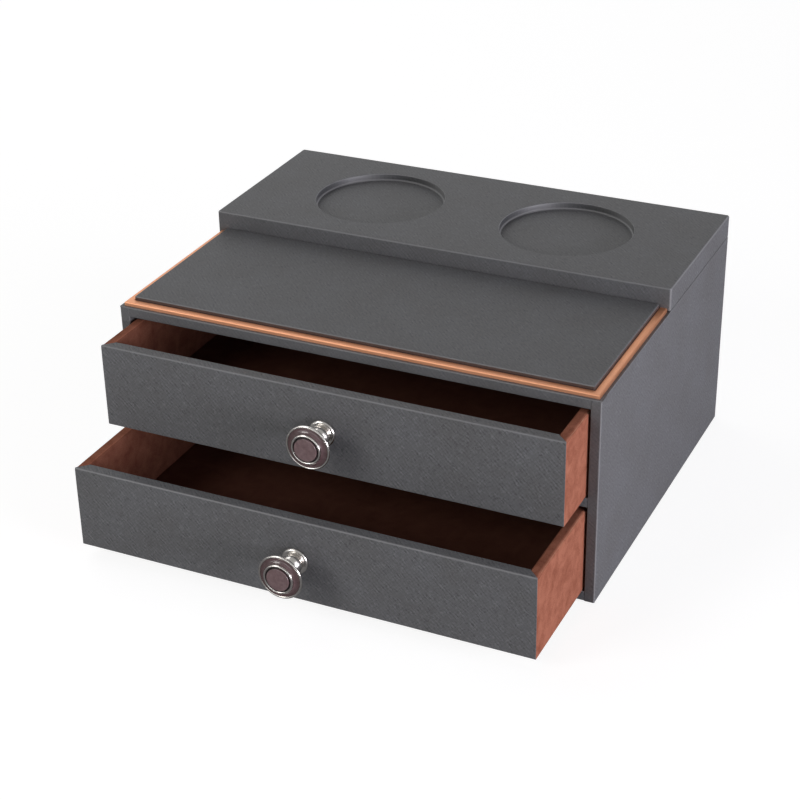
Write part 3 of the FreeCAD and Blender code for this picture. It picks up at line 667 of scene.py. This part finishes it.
# Painted shade: a darker grey for the recess walls.
recess_wall_painted_shade = leatherette("recess_wall_painted_shade", dark=(0.048, 0.049, 0.051),
                                light=(0.080, 0.081, 0.084))
foot_round = 0.0016
for side in ("left", "right"):
    low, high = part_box(side + "_recess_floor")
    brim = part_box(side + "_recess_wall")[1].z
    centre = (low + high) / 2
    rings = [(recess_radius * part / 5, high.z, 0) for part in range(5)]
    wall = [(recess_radius, high.z, foot_round), (recess_radius, brim, 0)]
    pan = spun([(Vector((centre.x + reach, centre.y, level)), radius)
                for reach, level, radius in rings + wall], centre, (0, 0, 1))
    made = piece(side + "_recess_lining", pan, [side + "_recess_floor", side + "_recess_wall"],
                 grey_leatherette, thickness=SHEET, swell=WAVE,
                 inner=centre - Vector((0, 0, 1)))
    # the upright wall faces take the painted shade
    second_finish(made, recess_wall_painted_shade, lambda face: abs(face.normal.z) < 0.5)

# ---- Bay linings and base felt ----------------------------------------------------------------
# Thin brown sheet lies on each bay's floor for the drawers to slide on. A charcoal felt is glued
# to the underside, inside the turned-in leatherette, and keeps the chest off the desk.


def napped(name, dark, light, mottle, nap):
    """A short nap: fibres too fine to see singly, brushed a little lighter and darker.

    Mottle and nap are the patches' and the fibres' scales, in spots per metre."""
    material, shader = finish(name, light, roughness=0.92)
    shader.inputs["Specular IOR Level"].default_value = 0.1
    shader.inputs["Sheen Weight"].default_value = 0.08
    shader.inputs["Sheen Roughness"].default_value = 0.45
    shader.inputs["Sheen Tint"].default_value = (*(min(1.0, part * 2.2) for part in light), 1.0)
    lie = on_piece(material)
    fibres = cloudy(material, lie, scale=nap, detail=5.0, roughness=0.68)
    brushed = cloudy(material, lie, scale=mottle, detail=5.0, roughness=0.6, distortion=0.6)
    tone = blend(material, brushed, 0.42, fibres)
    feed(shader, "Base Color", two_tone(material, spread(material, tone, 0.33, 0.67), dark, light))
    raise_grain(material, shader, fibres, depth=0.00022, strength=0.75)
    return material


lining = napped("brown_bay_lining", dark=(0.055, 0.022, 0.014), light=(0.095, 0.040, 0.026),
                mottle=90.0, nap=2200.0)
felt = napped("charcoal_felt", dark=(0.018, 0.018, 0.020), light=(0.045, 0.045, 0.048),
              mottle=240.0, nap=1500.0)


def laid_sheet(name, node, material, corner_round, edge_round, swell):
    """A flat sheet lying in a node's box, with rounded corners and a soft cut edge."""
    low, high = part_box(node)
    flat = draped(low, high, corner_round, edge_round)
    bmesh.ops.holes_fill(flat, edges=open_edges(flat))
    piece(name, flat, [node], material, swell=swell, inner=(low + high) / 2)


for bay in ("lower", "upper"):
    laid_sheet(bay + "_bay_sheet", bay + "_bay_lining", lining,
               corner_round=0.001, edge_round=0.0002, swell=0.00002)
laid_sheet("felt_base", "base_felt", felt,
           corner_round=0.003, edge_round=0.0005, swell=0.00006)

# ---- Drawer fronts ----------------------------------------------------------------------------
# Each drawer's front board is covered on its face, its top and its lower edge by one sheet of
# leatherette with a firmer grain. On top it is cut to a mitre at both ends and turned in behind.

firm_leatherette = leatherette("firm_leatherette", dark=(0.058, 0.059, 0.061),
                               light=(0.176, 0.177, 0.182))
upper_fold, lower_fold, rear_fold = 0.0012, 0.0008, 0.0006
turned_down = 0.008                              # how far the sheet goes down behind the board
mitre_depth = 0.0009                             # how far down the front fold it is mitred
end_inset, end_round = 0.0003, 0.0002            # the sheet's cut ends

for drawer in ("lower_drawer", "upper_drawer"):
    low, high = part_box(drawer + "_front_wrap")
    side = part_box(drawer + "_right_suede")[0].x  # inner face of the drawer's side
    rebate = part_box(drawer + "_front_board")[1].x
    cover = folded("x", [(high.y, high.z - turned_down, 0), (high.y, high.z, rear_fold),
                         (low.y, high.z, upper_fold), (low.y, low.z, lower_fold),
                         (high.y - SHEET, low.z, 0)],
                   [low.x, -rebate, -side, side, rebate, high.x])
    trim_off(cover, lambda at: abs(at.x) > side and at.y > high.y - rear_fold - MARGIN
             or abs(at.x) > rebate and at.y > low.y + lower_fold + MARGIN
             and at.z < low.z + lower_fold)
    for sign in (-1, 1):
        cut_mitre(cover, lambda at: sign * at.x > side and at.z > high.z - mitre_depth,
                  Vector((sign * side, high.y - SHEET, 0)),
                  Vector((sign * high.x, low.y + SHEET, 0)), keep_front=True)
    ends = open_edges(cover, lambda at: abs(at.x) > high.x - NEAR)
    for vert in bmesh.ops.extrude_edge_only(cover, edges=ends)["geom"]:
        if isinstance(vert, bmesh.types.BMVert):
            vert.co.y = max(vert.co.y, low.y + SHEET)
            vert.co.z = min(max(vert.co.z, low.z + end_inset), high.z - end_inset)
    round_off(cover, ends, end_round, segments=2, clamp=True)
    piece(drawer + "_front_covering", cover, [drawer + "_front_wrap"],
          firm_leatherette, thickness=SHEET * 0.9, swell=WAVE, inner=(low + high) / 2)

# ---- Drawer linings ---------------------------------------------------------------------------
# The sides and back are covered outside, over the top and inside with brown suede-look sheet,
# which meets the front's leatherette at the mitres. A strip of it lines the back of the front
# board, and a covered card lies on the floor. Inside the drawer the sheet has a darker painted
# shade.

NAP = 0.0005                                     # the suede-look sheet's thickness
side_outer_fold, side_inner_fold, back_fold = 0.0018, 0.0014, 0.0008
suede = napped("brown_suede", dark=(0.180, 0.056, 0.032), light=(0.378, 0.149, 0.094),
               mottle=95.0, nap=1500.0)
# Painted shade: a darker copy of the suede for the faces inside the drawers.
inside_suede_shade = napped("brown_suede_painted_shade", dark=(0.099, 0.031, 0.018),
                      light=(0.208, 0.082, 0.052), mottle=95.0, nap=1500.0)
# Painted shade: a darker suede for the floor card deep inside each drawer.
floor_suede_shade = napped("shaded_brown_suede", dark=(0.085, 0.031, 0.020),
                    light=(0.142, 0.056, 0.037), mottle=60.0, nap=1900.0)

for drawer in ("lower_drawer", "upper_drawer"):
    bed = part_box(drawer + "_floor_pad")[0].z
    front_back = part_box(drawer + "_front_board")[1].y
    back_low, back_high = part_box(drawer + "_back_board")
    for side, sign in (("left", -1), ("right", 1)):
        low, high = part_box(f"{drawer}_{side}_suede")
        near, far = (high.x, low.x) if sign < 0 else (low.x, high.x)
        cover = folded("y", [(near, bed, 0), (near, high.z, side_inner_fold),
                             (far, high.z, side_outer_fold), (far, low.z, 0)],
                       [low.y, front_back, back_low.y, high.y])
        trim_off(cover, lambda at: abs(at.x) < abs(near) + side_inner_fold + MARGIN
                 and (at.y < front_back and at.z < high.z - side_inner_fold
                      or at.y > back_low.y and at.z < high.z - NAP))
        cut_mitre(cover, lambda at: at.y < front_back and at.z > high.z - side_inner_fold,
                  Vector((near, front_back, 0)), Vector((far, low.y, 0)), keep_front=False)
        made = piece(f"{drawer}_{side}_lining", cover, [f"{drawer}_{side}_suede"], suede,
                     thickness=NAP, swell=WAVE, inner=(low + high) / 2)
        # inward faces take the painted shade
        second_finish(made, inside_suede_shade, lambda face: sign * face.normal.x < -0.7)
    low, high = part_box(drawer + "_back_suede")
    cover = folded("x", [(low.y, bed, 0), (low.y, high.z, back_fold),
                         (high.y, high.z, back_fold), (high.y, low.z, 0)],
                   [low.x, -back_high.x, back_high.x, high.x])
    trim_off(cover, lambda at: abs(at.x) > back_high.x
             and (at.y < high.y - MARGIN or at.z > high.z - back_fold - MARGIN))
    made = piece(drawer + "_back_lining", cover, [drawer + "_back_suede"], suede,
                 thickness=NAP, swell=WAVE, inner=(low + high) / 2)
    second_finish(made, inside_suede_shade, lambda face: face.normal.y < -0.7)
    low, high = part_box(drawer + "_front_suede")
    strip = folded("x", [(high.y, low.z, 0), (high.y, high.z, 0)], [low.x, high.x])
    piece(drawer + "_front_lining", strip, [drawer + "_front_suede"], inside_suede_shade,
          thickness=NAP, swell=WAVE, inner=(low + high) / 2)
    laid_sheet(drawer + "_floor_lining", drawer + "_floor_pad", floor_suede_shade,
               corner_round=0.001, edge_round=0.0008, swell=0.0001)

# ---- Knobs ------------------------------------------------------------------------------------
# A polished nickel head on a ball-shaped neck and a round rose, cast and turned in one piece. The
# head holds two enamel inlays, a hollow-faced ring and a flat mauve disc. The ring's darker plum is
# a painted shade of its hollow, and the groove round the disc is painted black as shade.


def polished_nickel():
    """Mirror bright, with fine wiping marks, and duller where the cloth doesn't reach."""
    material, shader = finish("polished_nickel", (0.74, 0.71, 0.68), roughness=0.10, metallic=1.0)
    lie = on_piece(material)
    turned = add(material, "ShaderNodeMapping", {"Vector": lie, "Scale": (260.0, 5200.0, 260.0)})
    marks = cloudy(material, turned.outputs[0], scale=1.0, detail=3.0)
    haze = cloudy(material, lie, scale=420.0, detail=4.0)
    feed(shader, "Base Color", two_tone(material, spread(material, haze, 0.35, 0.7),
                                        (0.80, 0.775, 0.745), (0.66, 0.63, 0.595)))
    feed(shader, "Roughness", spread(material, haze, 0.3, 0.75, 0.16, 0.28))
    raise_grain(material, shader, marks, depth=0.000006, strength=0.5)
    return material


def glossy_enamel(name, dark, light):
    """Glossy enamel with a little depth, clouded and finely speckled."""
    material, shader = finish(name, light, roughness=0.22)
    shader.inputs["Coat Weight"].default_value = 0.6
    shader.inputs["Coat Roughness"].default_value = 0.08
    lie = on_piece(material)
    clouds = cloudy(material, lie, scale=330.0, detail=4.0, roughness=0.6)
    specks = cloudy(material, lie, scale=5200.0)
    tone = blend(material, clouds, 0.3, specks)
    feed(shader, "Base Color", two_tone(material, spread(material, tone, 0.33, 0.67), dark, light))
    raise_grain(material, shader, specks, depth=0.000008, strength=0.5)
    return material


nickel = polished_nickel()
mauve = glossy_enamel("mauve_enamel", dark=(0.128, 0.078, 0.081), light=(0.198, 0.133, 0.136))
# Painted shade: the ring's enamel is darker than the disc's, for the shade in its hollow.
ring_enamel_shade = glossy_enamel("ring_enamel_painted_shade", dark=(0.078, 0.044, 0.046), light=(0.125, 0.078, 0.080))
# Painted shade: the groove round the disc is near black.
groove_shade, shader = finish("knob_groove_painted_shade", (0.012, 0.010, 0.010), roughness=0.35)
runs = cloudy(groove_shade, on_piece(groove_shade), scale=900.0)
raise_grain(groove_shade, shader, runs, depth=0.00001, strength=0.5)

# Each outline runs through (distance from the knob's axis, distance out from the front, corner
# radius), all in millimetres.
MM = 0.001
knob_outline = [(0.0, 0.0, 0), (9.3, 0.0, 1.0), (9.3, 2.6, 1.3), (6.3, 3.0, 0.5),
                (5.2, 3.1, 0.5), (7.4, 4.6, 2.0), (6.4, 9.2, 2.4), (3.9, 11.4, 1.4),
                (3.9, 14.6, 2.6), (8.0, 18.1, 3.2), (14.4, 19.2, 0.5), (15.3, 20.0, 0.5),
                (15.3, 21.6, 0.75), (13.8, 21.6, 0.6), (13.8, 20.4, 0), (10.3, 20.4, 0),
                (10.3, 24.3, 0.7), (8.8, 24.3, 0.7), (8.8, 23.1, 0), (0.0, 23.1, 0)]
ring_outline = [(13.75, 20.45, 0), (13.75, 21.3, 0.15), (12.7, 21.1, 0.6), (11.4, 21.5, 0.8),
                (10.35, 22.6, 0), (10.35, 20.45, 0), (13.75, 20.45, 0)]
disc_outline = [(0.0, 23.15, 0), (7.8, 23.15, 0), (7.8, 24.7, 0.3), (0.0, 24.7, 0)]
groove_radius, groove_reach = 8.85 * MM, 22.5 * MM
for drawer in ("lower_drawer", "upper_drawer"):
    low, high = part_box(drawer + "_knob")
    centre = Vector((0, high.y, (low.z + high.z) / 2))
    for name, node, slot, material, outline in (
            ("knob_turning", "knob", "knob_metal", nickel, knob_outline),
            ("knob_ring", "knob_ring_inlay", "knob_inlay", ring_enamel_shade, ring_outline),
            ("knob_disc", "knob_disc_inlay", "knob_inlay", mauve, disc_outline)):
        turned = spun([(centre + Vector((radius * MM, -reach * MM, 0)), fillet * MM)
                       for radius, reach, fillet in outline], centre, (0, 1, 0))
        made = piece(f"{drawer}_{name}", turned, [f"{drawer}_{node}"], material)
        if node == "knob":
            # the groove's faces take the painted shade
            second_finish(made, groove_shade, lambda face: (face.center - centre).xz.length
                          < groove_radius and centre.y - face.center.y > groove_reach)
